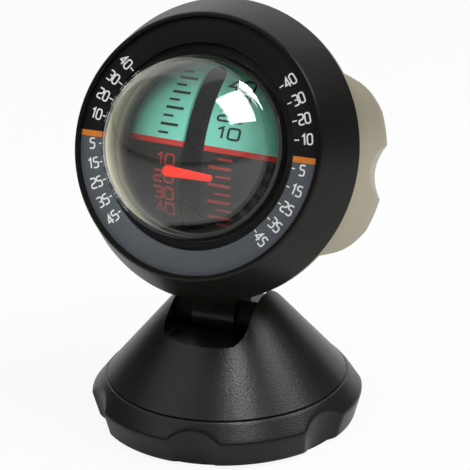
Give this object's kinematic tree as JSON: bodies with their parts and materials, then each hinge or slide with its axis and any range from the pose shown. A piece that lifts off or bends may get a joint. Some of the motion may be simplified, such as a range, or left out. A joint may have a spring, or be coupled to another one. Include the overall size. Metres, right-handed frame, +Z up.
{
  "type": "inclinometer",
  "caption": "Dashboard inclinometer: domed roll and pitch gauge in a tilting head on a swivelling cone foot.",
  "frame": {"origin": "centre of the underside, where the adhesive pad meets the dashboard", "axes": "+Z up, the dial faces -Y, +X is to the right as the dial is read"},
  "size_m": [0.0684, 0.0705, 0.0971],
  "materials": {
    "pad": "closed-cell foam with adhesive",
    "foot_plastic": "fine moulded texture",
    "bezel_plastic": "satin",
    "silver_paint": "satin",
    "steel": "brushed",
    "brass": "turned",
    "seal_rubber": "matt",
    "washer_plastic": "natural",
    "clear_plastic": "polished",
    "cream_plastic": "gloss",
    "dial_print": "printed, satin",
    "face_teal": "satin",
    "face_black": "satin",
    "horizon_red": "satin",
    "frame_plastic": "satin",
    "pointer_orange": "gloss"
  },
  "bodies": {
    "foot": {"adhesive_pad": "pad", "base_plate": "steel", "base_screws": "steel", "base_flange": "foot_plastic"},
    "turret": {"cone_turret": "foot_plastic", "swivel_bolt": "steel", "spring_washer": "steel", "thrust_washer": "washer_plastic", "tilt_pin": "steel", "tilt_spacers": "seal_rubber"},
    "head": {"neck": "foot_plastic", "neck_screws": "steel", "rear_housing": "silver_paint", "rear_cover": "silver_paint", "cover_screws": "steel", "bezel": "bezel_plastic", "dial_ring": "dial_print", "dome_lens": "clear_plastic", "dome_seal": "seal_rubber", "capsule_cup": "cream_plastic", "filler_plug": "seal_rubber", "roll_pin": "steel", "roll_clip": "steel"},
    "ball": {"face_upper": "face_teal", "face_lower": "face_black", "horizon_strip": "horizon_red", "roll_frame": "frame_plastic", "roll_weights": "brass", "pitch_axle": "steel"},
    "pointer": {"pointer_rotor": "frame_plastic", "pointer_bar": "pointer_orange", "pitch_weight": "brass"}
  },
  "joints": [
    {"name": "base_swivel", "type": "hinge", "parent": "foot", "child": "turret", "pos_m": [0, 0, 0.0106], "axis": [0, 0, 1], "continuous": true},
    {"name": "head_tilt", "type": "hinge", "parent": "turret", "child": "head", "pos_m": [0, -0.002, 0.026], "axis": [1, 0, 0], "range_deg": [-20, 25]},
    {"name": "ball_roll", "type": "hinge", "parent": "head", "child": "ball", "pos_m": [0, -0.01272, 0.06949], "axis": [0, -0.9285, 0.3714], "continuous": true},
    {"name": "pointer_pitch", "type": "hinge", "parent": "ball", "child": "pointer", "pos_m": [0, 0.00957, 0.06058], "axis": [0.9994, -0.013, -0.0324], "range_deg": [-50, 23]}
  ]
}
